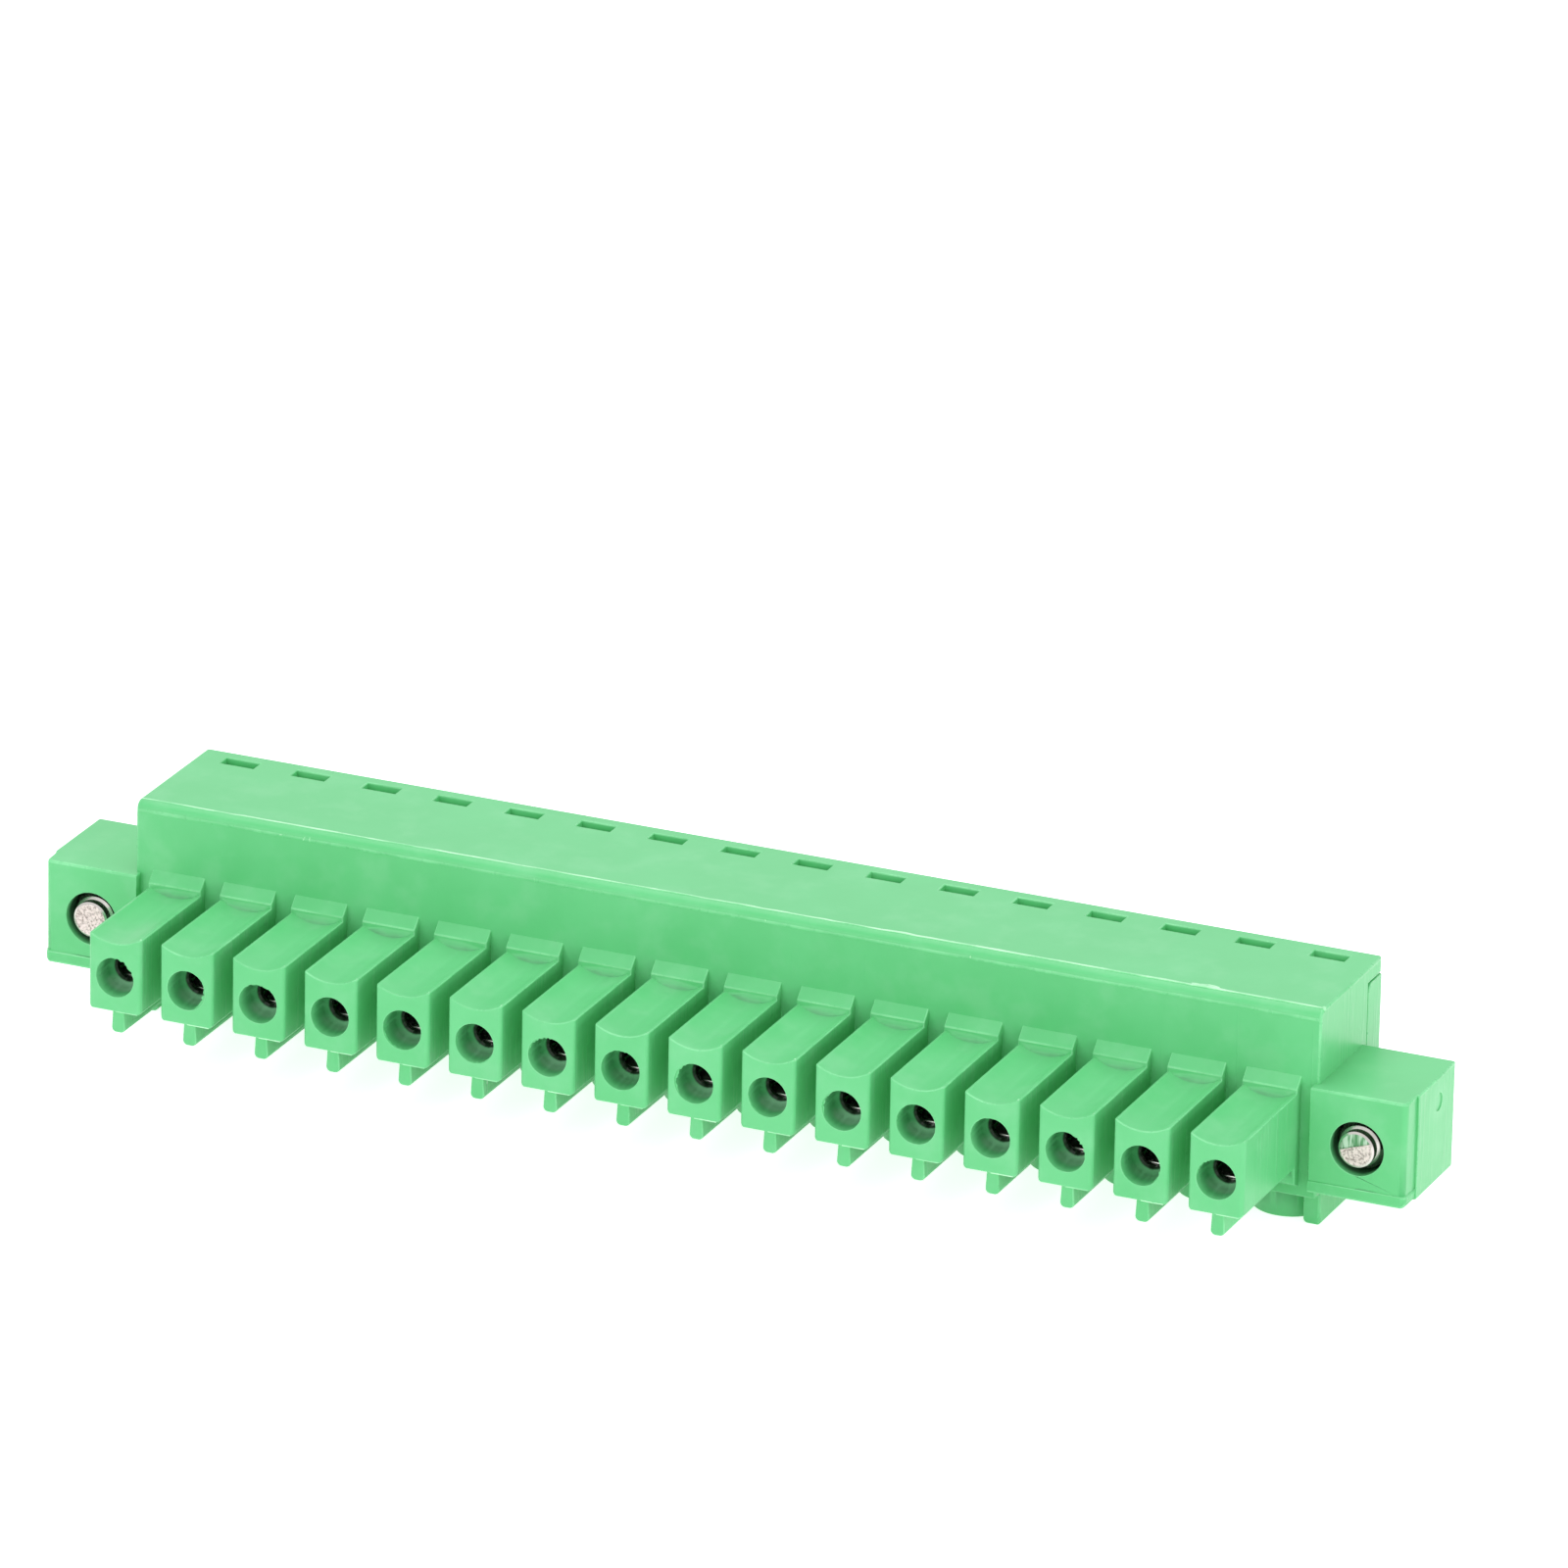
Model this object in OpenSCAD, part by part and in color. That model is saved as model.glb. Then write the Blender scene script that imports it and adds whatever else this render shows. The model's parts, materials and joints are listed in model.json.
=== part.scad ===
// Pluggable terminal block: a straight row of wire clamps with one contact finger per pole and a screw flange at
// each end. The plug stands on its screw side. +X runs along the row, the fingers point to -Y, +Z is up, and the
// origin is the middle of the base.
//
// Inside this file, y is the distance behind the finger fronts and z the height above the contact axis. The module
// in_place() moves a finished piece from there to its place over the base.

/* [Row] */
// Number of poles
poles = 16; // [2:1:24]
// Distance between neighbouring poles
pitch = 3.81; // [3.75:0.01:5.08]
// What the body has beyond the last pole's own cell at each end
end_wall = 0.405; // [0.3:0.05:2]

/* [Fingers] */
// Width of a contact finger
finger_w = 2.8; // [2.4:0.05:3]
// Length of a finger, from its front to the body's front face
finger_l = 7.1; // [6:0.1:9]
// Top of a finger above the contact axis
finger_top = 2.11; // [1.9:0.05:2.3]
// Underside of a finger below the contact axis
finger_bottom = 1.76; // [1.6:0.05:2]
// Depth of the hollow along a finger's top
trough_depth = 0.35; // [0.1:0.05:0.5]
// Flat edge on each side of that hollow
trough_edge = 0.15; // [0.05:0.05:0.4]
// Radius of a finger's front and lower edges
finger_r = 0.22; // [0.1:0.02:0.4]
// Height of the shoulder over a finger's root, above the finger
shoulder_h = 0.24; // [0.1:0.02:0.5]
// Length of the shoulders at a finger's root
shoulder_l = 0.52; // [0.3:0.02:0.9]
// Depth of the shoulder under a finger's root
under_shoulder_h = 0.74; // [0.3:0.02:1]

/* [Contact openings] */
// Diameter of the opening in a finger's front
opening_d = 2; // [1.6:0.05:2.2]
// Depth of the opening's straight part
opening_l = 1.3; // [0.8:0.05:1.6]
// Diameter of the throat that the mating pin passes
throat_d = 1.3; // [1.1:0.05:1.5]
// Length of the throat
throat_l = 0.25; // [0.15:0.05:0.5]

/* [Coding ribs] */
// Width of a coding rib at its widest
rib_w = 0.72; // [0.5:0.02:1]
// Width of a coding rib where it meets the finger
rib_neck_w = 0.6; // [0.3:0.02:0.7]
// Radius of a coding rib's lower edges
rib_foot_r = 0.25; // [0.1:0.05:0.35]
// Height of a coding rib
rib_h = 1.24; // [0.6:0.02:1.5]
// How far a coding rib starts behind the finger's front
rib_setback = 0.4; // [0:0.05:1.5]

/* [Body] */
// Depth of the body, from its front face to the back of the top plate
body_depth = 7.9; // [7.6:0.05:10]
// Top of the body above the contact axis
body_top = 6.28; // [5.9:0.02:8]
// Lower edge of the body's front face, below the contact axis
front_drop = 3.25; // [3:0.05:3.5]
// Base of the plug below the contact axis
base_drop = 4.84; // [4.7:0.02:6]
// Radius of the front top edge
front_edge_r = 0.45; // [0.2:0.05:0.8]
// Thickness of the front wall
front_wall = 0.7; // [0.4:0.05:0.8]
// Thickness of the top plate where it covers the rear cover
top_plate = 0.8; // [0.5:0.05:1]
// Extra thickness of the roof over the cells
roof_extra = 0.1; // [0.05:0.05:0.4]
// Thickness of the floor under the clamp screws
floor_t = 0.64; // [0.4:0.02:1]

/* [Screw chimneys] */
// Outside radius of the round chimney around a clamp screw
chimney_r = 1.85; // [1.7:0.05:1.87]
// Distance of the chimney's front behind the body's front face
chimney_setback = 0.85; // [0.7:0.05:1.2]
// Diameter of the screwdriver hole
driver_hole_d = 2.4; // [1.8:0.05:2.5]
// Depth of the countersink around the screwdriver hole
driver_sink = 0.25; // [0.1:0.05:0.4]
// Width of the rib at each end of the chimneys
end_rib_w = 0.86; // [0.5:0.02:1.2]
// Distance of the end rib's front behind the body's front face
end_rib_setback = 0.65; // [0.2:0.05:1]
// Radius of the end rib's inner lower edge
end_rib_r = 0.24; // [0.1:0.02:0.4]

/* [Latch windows] */
// Width of a latch window along the row
window_w = 1.8; // [1.2:0.05:2.4]
// Length of a latch window across the row
window_l = 0.8; // [0.5:0.05:1]
// Distance from a latch window to the back of the top plate
window_back = 0.7; // [0.5:0.05:0.9]
// Depth of a latch nub's top below the top plate's surface
nub_sink = 0.35; // [0.1:0.05:0.6]
// Gap between a latch nub and its window
nub_gap = 0.06; // [0.02:0.01:0.15]

/* [Rear cover] */
// Thickness of the rear cover
cover_t = 1.75; // [1.2:0.05:2.2]
// Distance of the cover's back inside the top plate's back edge
cover_inset = 0.05; // [0:0.01:0.3]
// Gap between the cover and the top plate over it
cover_gap = 0.03; // [0.02:0.01:0.1]
// Radius of the cover's upper front edge
cover_edge_r = 0.45; // [0.2:0.05:0.8]
// Length of the plugs that the cover pushes into the cells
plug_l = 0.6; // [0.3:0.05:0.8]
// Gap between such a plug and its cell
plug_gap = 0.05; // [0.02:0.01:0.1]
// Width of a wire entry
wire_w = 2.3; // [1.6:0.05:2.6]
// Width that a wire entry gains at its mouth
wire_flare = 0.35; // [0.1:0.05:0.35]

/* [Clamp cages] */
// Width of a cage across its pole
cage_w = 3.05; // [2.9:0.05:3.1]
// Depth of a cage along the wire
cage_depth = 2.8; // [2.4:0.05:2.9]
// Thickness of a cage's side walls
cage_side = 0.4; // [0.3:0.02:0.42]
// Thickness of the threaded wall
cage_nut = 1; // [0.7:0.05:1.1]
// Thickness of the wall that presses the wire
cage_jaw = 0.6; // [0.4:0.05:0.7]
// Gap between a cage and its cell
cage_gap = 0.12; // [0.08:0.01:0.15]
// Gap between the threaded wall of an open cage and the contact's bar
nut_gap = 0.1; // [0.06:0.01:0.2]
// How far a cage rises from clamped to open
clamp_travel = 1.9; // [1.2:0.05:2]
// Gap between the jaw and the contact's bar when the clamp is run home
jaw_gap = 0.2; // [0.1:0.05:0.4]

/* [Clamp screws] */
// Diameter of a clamp screw's thread
screw_d = 2; // [1.6:0.05:2]
// Diameter of a clamp screw's head
head_d = 2.7; // [2.6:0.05:2.75]
// Height of a clamp screw's head
head_h = 1.2; // [0.8:0.05:1.3]
// Gap around a clamp screw's head
head_gap = 0.1; // [0.06:0.01:0.15]
// Height that the head's nest leaves free over the head
nest_room = 0.3; // [0.1:0.05:0.5]
// Width of the screwdriver slot
slot_w = 0.45; // [0.3:0.05:0.6]
// Depth of the screwdriver slot
slot_depth = 0.55; // [0.3:0.05:0.7]
// Radial gap between a thread and its nut
thread_gap = 0.05; // [0.03:0.01:0.1]

/* [Contacts] */
// Width of the contact's spring arms
spring_w = 1.5; // [1:0.05:1.6]
// Thickness of the contact's spring arms
spring_t = 0.25; // [0.15:0.01:0.3]
// Gap between the spring arms where they grip the pin
grip_gap = 0.6; // [0.4:0.05:0.8]
// Side of the square chamber around the spring arms
chamber_w = 1.9; // [1.75:0.05:1.95]
// Gap between the contact and its chamber
chamber_gap = 0.12; // [0.05:0.01:0.15]
// Width of the current bar
bar_w = 2; // [1.6:0.05:2.05]
// Thickness of the current bar
bar_t = 0.6; // [0.4:0.05:0.7]
// Thickness of the leg that joins the arms to the bar
leg_t = 0.45; // [0.3:0.05:0.5]
// Height of the current bar's underside above the contact axis
bar_z = 1.05; // [1:0.05:1.2]
// Distance from a spring arm's mouth to its grip
grip_l = 1.2; // [0.8:0.1:1.6]
// Distance from the grip to where the arm runs straight
bend_l = 1.6; // [1:0.1:2]
// Length of the solid root that holds both arms
root_l = 0.6; // [0.3:0.05:1]
// Gap between the bar's end and the rear cover
bar_end_gap = 0.15; // [0.1:0.05:0.5]

/* [Flanges] */
// Width of a flange beyond the body
flange_w = 4.75; // [4.65:0.05:7]
// Depth of a flange, front to back
flange_depth = 6.18; // [6:0.05:7]
// How far a flange's front stands before the body's front face
flange_lead = 0.51; // [0.3:0.01:1]
// Top of a flange above the contact axis
flange_top = 2.59; // [2.4:0.05:4]
// Underside of a flange below the contact axis
flange_bottom = 2.74; // [2.6:0.05:3.2]
// Length of the nose, a flange's narrower front end
nose_l = 1.29; // [0.8:0.01:2]
// How far that nose is narrower than the flange
nose_step = 0.12; // [0.08:0.01:0.2]
// Radius of the nose's outer front edge
flange_r = 0.3; // [0.1:0.05:0.6]
// Height of the band around the nose's foot
band_h = 0.62; // [0.54:0.02:0.8]
// How far that band stands out
band_step = 0.05; // [0.02:0.01:0.07]
// Radius of that band's outer lower edge
band_r = 0.25; // [0.1:0.05:0.25]
// Diameter of the round ejector mark on a flange's outer side
ejector_d = 0.9; // [0.5:0.05:1.5]
// Depth of the ejector mark
ejector_depth = 0.06; // [0.02:0.01:0.15]
// Distance of the ejector mark behind the flange's front
ejector_y = 3.9; // [2:0.1:5]
// Height of the ejector mark above the contact axis
ejector_z = 1.33; // [-1:0.01:2]

/* [Lock screws] */
// Distance of a lock screw's axis from the body's end
lock_x = 2.17; // [2.1:0.01:3]
// Height of a lock screw's axis relative to the contact axis
lock_z = -0.1; // [-0.3:0.05:0.3]
// Diameter of a lock screw's thread
lock_d = 2.5; // [2:0.05:2.5]
// Length of a lock screw's thread
lock_thread_l = 2; // [1.5:0.05:2.2]
// Diameter of the plain tip before the thread
lock_tip_d = 1.8; // [1.4:0.05:1.9]
// Length of that tip
lock_tip_l = 0.5; // [0.3:0.05:0.8]
// How far the tip stands before the flange at rest
lock_tip_proud = 0.14; // [0:0.01:0.3]
// Diameter of a lock screw's neck
lock_neck_d = 1.9; // [1.6:0.05:1.95]
// Diameter of a lock screw's head
lock_head_d = 3.6; // [3:0.05:3.7]
// Length of a lock screw's head
lock_head_l = 1.4; // [1:0.05:2]
// Radial gap around the thread in the flange
lock_gap = 0.1; // [0.08:0.01:0.15]
// Thickness of the lip that keeps a lock screw captive
lip_t = 0.6; // [0.4:0.05:0.8]
// Gap between that lip and the end of the thread
lip_gap = 0.1; // [0.05:0.01:0.2]
// How far a lock screw can move forward
lock_float = 2.7; // [1.5:0.05:2.8]
// Thickness of the washer under a lock screw's head
washer_t = 0.35; // [0.25:0.05:0.5]
// Gap between that washer and the head
washer_gap = 0.02; // [0.01:0.01:0.05]
// Chamfer on a lock screw's ends
lock_chamfer = 0.12; // [0.05:0.01:0.2]
// Width of the slot in a lock screw's head
lock_slot_w = 0.6; // [0.4:0.05:1]
// Depth of that slot
lock_slot_depth = 0.6; // [0.3:0.05:1]

/* [Hidden] */
$fn = 48;
small_fn = 24;
fine_fn = 96;
joined = 0.25; // how far neighbouring forms reach into each other
through = 0.1; // how far a cut runs past the face that it opens

function two_digits(n) = str(n < 10 ? "0" : "", n);
function pole_node(name, n) = str(name, "_", two_digits(n));
sides = ["left", "right"];

// the row
function pole_x(n) = (n - (poles + 1) / 2) * pitch;
body_l = poles * pitch + 2 * end_wall;
body_front = finger_l;
body_back = body_front + body_depth;
cover_back = body_back - cover_inset;
seam_y = cover_back - cover_t;
plate_under = body_top - top_plate;

// the clamp screws stand upright in the chimneys
screw_y = body_front + chimney_setback + chimney_r;
floor_top = floor_t - base_drop;
head_bottom = floor_top + head_gap;
head_top = head_bottom + head_h;
tip_z = bar_z - thread_gap;
nest_r = head_d / 2 + head_gap;
nest_top = head_top + nest_room;

// each cell holds a cage round the contact's bar
cell_w = cage_w + 2 * cage_gap;
cell_front = body_front + front_wall;
cell_bottom = nest_top - joined;
cell_top = plate_under - roof_extra;
bar_top = bar_z + bar_t;
jaw_z = bar_top + jaw_gap;
cage_top = jaw_z + cage_jaw;
cage_floor = bar_z - nut_gap - clamp_travel;
cage_bottom = cage_floor - cage_nut;
leg_y = screw_y - cage_depth / 2 - cage_gap - leg_t;

// the contact's spring arms lie in a square chamber
chamber_front = opening_l + (opening_d - throat_d) / 2 + throat_l;
arm_out = chamber_w / 2 - chamber_gap;
mouth_y = chamber_front + chamber_gap;
grip_y = mouth_y + grip_l;
bend_y = grip_y + bend_l;
root_y = leg_y - root_l;
bar_back = seam_y - plug_l - bar_end_gap;

// the flanges and their screws
flange_front = body_front - flange_lead;
flange_back = flange_front + flange_depth;
nose_back = flange_front + nose_l;
nose_outer = body_l / 2 + flange_w - nose_step;
lock_axis_x = body_l / 2 + lock_x;
lock_tip_y = flange_front - lock_tip_proud;
thread_y = lock_tip_y + lock_tip_l;
neck_y = thread_y + lock_thread_l;
lip_y = neck_y + lip_gap;
lip_back = lip_y + lip_t;
washer_y = lip_back + lip_gap + lock_float;
lock_head_y = washer_y + washer_t;
lip_d = lock_neck_d + 2 * lock_gap;
lock_nest_d = lock_head_d + 4 * lock_gap;

plastic = "mediumseagreen";
tinned = "silver";
steel = "lightsteelblue";
nickel = "gainsboro";

// ---- helpers -------------------------------------------------------------------------------------------------

module in_place() translate([0, -body_back / 2, base_drop]) children();

// a section drawn in (x, z), extruded along y
module along_y(y0, y1) translate([0, y1, 0]) rotate([90, 0, 0]) linear_extrude(y1 - y0) children();

// a profile drawn in (y, z), extruded along x
module along_x(x0, x1) translate([x0, 0, 0]) rotate([90, 0, 90]) linear_extrude(x1 - x0) children();

// a plan drawn in (x, y), extruded along z
module along_z(z0, z1) translate([0, 0, z0]) linear_extrude(z1 - z0) children();

// a turned shape drawn as (radius, y), on the axis through (x, z)
module turned_y(x, z) translate([x, 0, z]) rotate([-90, 0, 0]) rotate_extrude() children();

// copies of a drawing or a solid, one for each pole
module at_poles() for (n = [1:poles]) translate([pole_x(n), 0]) children();

module rectangle(a0, a1, b0, b1) translate([a0, b0]) square([a1 - a0, b1 - b0]);

// a rectangle whose two corners on the b0 side are round
module round_foot(a0, a1, b0, b1, r) {
    rectangle(a0, a1, b0 + r, b1);
    rectangle(a0 + r, a1 - r, b0, b1);
    for (a = [a0 + r, a1 - r]) translate([a, b0 + r]) circle(r, $fn = small_fn);
}

module round_box(w, h, r) {
    square([w - 2 * r, h], center = true);
    square([w, h - 2 * r], center = true);
    for (i = [-1, 1], j = [-1, 1])
        translate([i * (w / 2 - r), j * (h / 2 - r)]) circle(r, $fn = small_fn);
}

// ---- housing -------------------------------------------------------------------------------------------------

trough_half = finger_w / 2 - trough_edge;
trough_r = (trough_half * trough_half + trough_depth * trough_depth) / (2 * trough_depth);

module finger_section() difference() {
    round_foot(-finger_w / 2, finger_w / 2, -finger_bottom, finger_top, finger_r);
    translate([0, finger_top - trough_depth + trough_r]) circle(trough_r, $fn = fine_fn);
}

module finger_plan() round_foot(-finger_w / 2, finger_w / 2, 0, body_front + joined, finger_r);

// the shoulders that thicken a finger's root, above and below, drawn in (y, z)
module shoulder_profile() polygon([
    [body_front - shoulder_l, 0],
    [body_front - shoulder_l, finger_top + shoulder_h],
    [body_front, finger_top + shoulder_h + shoulder_l],
    [body_front + joined, finger_top + shoulder_h + shoulder_l],
    [body_front + joined, -finger_bottom - under_shoulder_h - shoulder_l / 2],
    [body_front, -finger_bottom - under_shoulder_h - shoulder_l / 2],
    [body_front - shoulder_l, -finger_bottom - under_shoulder_h]
]);

module fingers() intersection() {
    along_z(-body_top, body_top) at_poles() finger_plan();
    union() {
        along_y(0, body_front + joined) at_poles() finger_section();
        along_x(-body_l / 2, body_l / 2) shoulder_profile();
    }
}

// a slightly dovetailed rib with a round foot, drawn in (x, z)
module coding_rib_section() {
    widest = -finger_bottom - rib_h + rib_foot_r;
    polygon([
        [-rib_neck_w / 2, joined - finger_bottom],
        [-rib_neck_w / 2, -finger_bottom],
        [-rib_w / 2, widest],
        [rib_w / 2, widest],
        [rib_neck_w / 2, -finger_bottom],
        [rib_neck_w / 2, joined - finger_bottom]
    ]);
    rectangle(rib_foot_r - rib_w / 2, rib_w / 2 - rib_foot_r, widest - rib_foot_r, widest);
    for (x = [rib_foot_r - rib_w / 2, rib_w / 2 - rib_foot_r])
        translate([x, widest]) circle(rib_foot_r, $fn = small_fn);
}

module coding_ribs() along_y(rib_setback, body_front + joined) at_poles() coding_rib_section();

// the body's end view, drawn in (y, z)
module body_profile() {
    rectangle(body_front, seam_y, -front_drop, body_top - front_edge_r);
    rectangle(body_front + front_edge_r, body_back, plate_under, body_top);
    rectangle(body_front + front_edge_r, seam_y, 0, body_top);
    translate([body_front + front_edge_r, body_top - front_edge_r]) circle(front_edge_r);
}

// the chimneys and the floor behind them, drawn in (x, y)
module chimney_plan() {
    at_poles() translate([0, screw_y]) circle(chimney_r);
    rectangle(-body_l / 2, body_l / 2, screw_y, seam_y);
}

// the rib at the chimneys' end, drawn in (x, z) with its inner lower corner round
module end_rib() along_y(body_front + end_rib_setback, screw_y + joined) {
    inner = body_l / 2 - end_rib_w;
    rectangle(inner, body_l / 2, end_rib_r - base_drop, joined - front_drop);
    rectangle(inner + end_rib_r, body_l / 2, -base_drop, joined - front_drop);
    translate([inner + end_rib_r, end_rib_r - base_drop]) circle(end_rib_r, $fn = small_fn);
}

// the nose of a flange, drawn in (x, y), with its front and its outer side moved out by grow
module nose_plan(grow) {
    outer = nose_outer + grow;
    front = flange_front - grow;
    rectangle(body_l / 2 - joined, outer - flange_r, front, nose_back + joined);
    rectangle(body_l / 2 - joined, outer, front + flange_r, nose_back + joined);
    translate([outer - flange_r, front + flange_r]) circle(flange_r, $fn = small_fn);
}

// the band around the nose's foot, drawn in (x, z) with its outer lower corner round
module band_section() {
    outer = nose_outer + band_step;
    rectangle(body_l / 2 - joined, outer, band_r - flange_bottom, band_h - flange_bottom);
    rectangle(body_l / 2 - joined, outer - band_r, -flange_bottom, band_h - flange_bottom);
    translate([outer - band_r, band_r - flange_bottom]) circle(band_r, $fn = small_fn);
}

module flange() {
    along_z(-flange_bottom, flange_top)
        rectangle(body_l / 2 - joined, body_l / 2 + flange_w, nose_back, flange_back);
    along_z(band_h / 2 - flange_bottom, flange_top) nose_plan(0);
    intersection() {
        along_z(-body_top, body_top) nose_plan(band_step);
        along_y(0, nose_back + joined) band_section();
    }
}

// the bore for a lock screw, drawn as (radius, y): thread clearance, captive lip, and the nest for the head
module lock_bore_profile() polygon([
    [0, flange_front - through],
    [lock_d / 2 + lock_gap, flange_front - through],
    [lock_d / 2 + lock_gap, lip_y],
    [lip_d / 2, lip_y],
    [lip_d / 2, lip_back],
    [lock_nest_d / 2, lip_back],
    [lock_nest_d / 2, flange_back + through],
    [0, flange_back + through]
]);

module flange_end() {
    difference() {
        flange();
        turned_y(lock_axis_x, lock_z) lock_bore_profile();
        translate([body_l / 2 + flange_w - ejector_depth, flange_front + ejector_y, ejector_z])
            rotate([0, 90, 0]) cylinder(d = ejector_d, h = 1);
    }
}

// the contact opening, drawn as (radius, y)
module opening_profile() polygon([
    [0, -through],
    [opening_d / 2, -through],
    [opening_d / 2, opening_l],
    [throat_d / 2, opening_l + (opening_d - throat_d) / 2],
    [throat_d / 2, chamber_front + through],
    [0, chamber_front + through]
]);

// the screwdriver hole, drawn as (radius, z)
module driver_hole_profile() polygon([
    [0, -base_drop - through],
    [driver_hole_d / 2 + driver_sink + through, -base_drop - through],
    [driver_hole_d / 2, -base_drop + driver_sink],
    [driver_hole_d / 2, floor_top + through],
    [0, floor_top + through]
]);

module nest_plan() {
    translate([0, screw_y]) circle(nest_r);
    rectangle(-nest_r, nest_r, screw_y, seam_y + through);
}

module housing() color(plastic) in_place() {
    difference() {
        union() {
            along_x(-body_l / 2, body_l / 2) body_profile();
            along_z(-base_drop, joined - front_drop) chimney_plan();
            fingers();
            coding_ribs();
            for (side = [0, 1]) mirror([side, 0, 0]) end_rib();
        }
        along_y(chamber_front, cell_front + through) at_poles() square(chamber_w, center = true);
        along_y(cell_front, seam_y + through) at_poles()
            rectangle(-cell_w / 2, cell_w / 2, cell_bottom, cell_top);
        along_z(floor_top, nest_top) at_poles() nest_plan();
        along_z(cell_top, body_top + through) at_poles()
            rectangle(-window_w / 2, window_w / 2, body_back - window_back - window_l, body_back - window_back);
        for (n = [1:poles]) turned_y(pole_x(n), 0) opening_profile();
        for (n = [1:poles]) translate([pole_x(n), screw_y, 0]) rotate_extrude() driver_hole_profile();
    }
    for (side = [0, 1]) mirror([side, 0, 0]) flange_end();
}

// ---- rear cover ----------------------------------------------------------------------------------------------

module cover_profile() {
    top = plate_under - cover_gap;
    rectangle(seam_y, cover_back, -base_drop, top - cover_edge_r);
    rectangle(seam_y + cover_edge_r, cover_back, 0, top);
    translate([seam_y + cover_edge_r, top - cover_edge_r]) circle(cover_edge_r, $fn = small_fn);
}

// the funnels of all the wire entries, where a plan and a profile of the flare meet
module wire_entries() {
    low = bar_top;
    high = bar_top + jaw_gap + clamp_travel;
    flare_l = 2 * wire_flare;
    along_y(seam_y - plug_l - through, cover_back + through) at_poles()
        rectangle(-wire_w / 2, wire_w / 2, low, high);
    intersection() {
        along_z(low - 1, high + 1) at_poles() polygon([
            [-wire_w / 2, cover_back - flare_l],
            [wire_w / 2, cover_back - flare_l],
            [wire_w / 2 + wire_flare, cover_back + through],
            [-wire_w / 2 - wire_flare, cover_back + through]
        ]);
        along_x(-body_l / 2, body_l / 2) polygon([
            [cover_back - flare_l, low],
            [cover_back - flare_l, high],
            [cover_back + through, high + wire_flare],
            [cover_back + through, low - wire_flare]
        ]);
    }
}

module rear_cover() color(plastic) in_place() difference() {
    union() {
        along_x(-body_l / 2, body_l / 2) cover_profile();
        along_y(seam_y - plug_l, seam_y + joined) at_poles()
            rectangle(-cell_w / 2 + plug_gap, cell_w / 2 - plug_gap, cell_bottom + joined, cell_top - plug_gap);
        along_z(plate_under - joined, body_top - nub_sink) at_poles() rectangle(
            nub_gap - window_w / 2, window_w / 2 - nub_gap,
            body_back - window_back - window_l + nub_gap, body_back - window_back - nub_gap
        );
    }
    wire_entries();
}

// ---- contacts ------------------------------------------------------------------------------------------------

// the upper spring arm, drawn in (y, z): it narrows to the grip and flares at its mouth
module spring_arm() {
    grip = grip_gap / 2;
    polygon([
        [mouth_y, arm_out],
        [grip_y, grip + spring_t],
        [bend_y, arm_out],
        [leg_y, arm_out],
        [leg_y, arm_out - spring_t],
        [bend_y, arm_out - spring_t],
        [grip_y, grip],
        [mouth_y, arm_out - spring_t]
    ]);
}

module contact(n) color(tinned) in_place() translate([pole_x(n), 0, 0]) {
    along_x(-spring_w / 2, spring_w / 2) {
        spring_arm();
        mirror([0, 1]) spring_arm();
        rectangle(root_y, leg_y + leg_t, -arm_out, arm_out);
    }
    along_x(-bar_w / 2, bar_w / 2) {
        rectangle(leg_y, leg_y + leg_t, arm_out - spring_t, bar_top - leg_t);
        rectangle(leg_y + leg_t, bar_back, bar_z, bar_top);
        intersection() {
            translate([leg_y + leg_t, bar_top - leg_t]) circle(leg_t, $fn = small_fn);
            rectangle(leg_y, leg_y + leg_t, bar_top - leg_t, bar_top);
        }
    }
}

// ---- clamps --------------------------------------------------------------------------------------------------

module clamp_cage(n) color(steel) in_place() translate([pole_x(n), 0, 0]) difference() {
    along_y(screw_y - cage_depth / 2, screw_y + cage_depth / 2) difference() {
        translate([0, (cage_bottom + cage_top) / 2]) round_box(cage_w, cage_top - cage_bottom, cage_side);
        rectangle(cage_side - cage_w / 2, cage_w / 2 - cage_side, cage_floor, jaw_z);
    }
    translate([0, screw_y, cage_bottom - through])
        cylinder(d = screw_d + 2 * thread_gap, h = cage_nut + 2 * through);
}

module clamp_screw(n) color(nickel) in_place() translate([pole_x(n), screw_y, 0]) difference() {
    union() {
        translate([0, 0, head_bottom]) cylinder(d = head_d, h = head_h);
        translate([0, 0, head_top - through]) cylinder(d = screw_d, h = tip_z - head_top + through);
    }
    translate([0, 0, head_bottom + slot_depth / 2 - through / 2])
        cube([head_d + 1, slot_w, slot_depth + through], center = true);
}

// ---- lock screws ---------------------------------------------------------------------------------------------

function side_x(side) = side == "left" ? -lock_axis_x : lock_axis_x;

// drawn as (radius, y), from the plain tip to the back of the head
module lock_screw_profile() {
    cut = lock_chamfer;
    polygon([
        [0, lock_tip_y],
        [lock_tip_d / 2 - cut, lock_tip_y],
        [lock_tip_d / 2, lock_tip_y + cut],
        [lock_tip_d / 2, thread_y],
        [lock_d / 2 - cut, thread_y],
        [lock_d / 2, thread_y + cut],
        [lock_d / 2, neck_y],
        [lock_neck_d / 2, neck_y],
        [lock_neck_d / 2, lock_head_y],
        [lock_head_d / 2, lock_head_y],
        [lock_head_d / 2, lock_head_y + lock_head_l - cut],
        [lock_head_d / 2 - cut, lock_head_y + lock_head_l],
        [0, lock_head_y + lock_head_l]
    ]);
}

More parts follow.
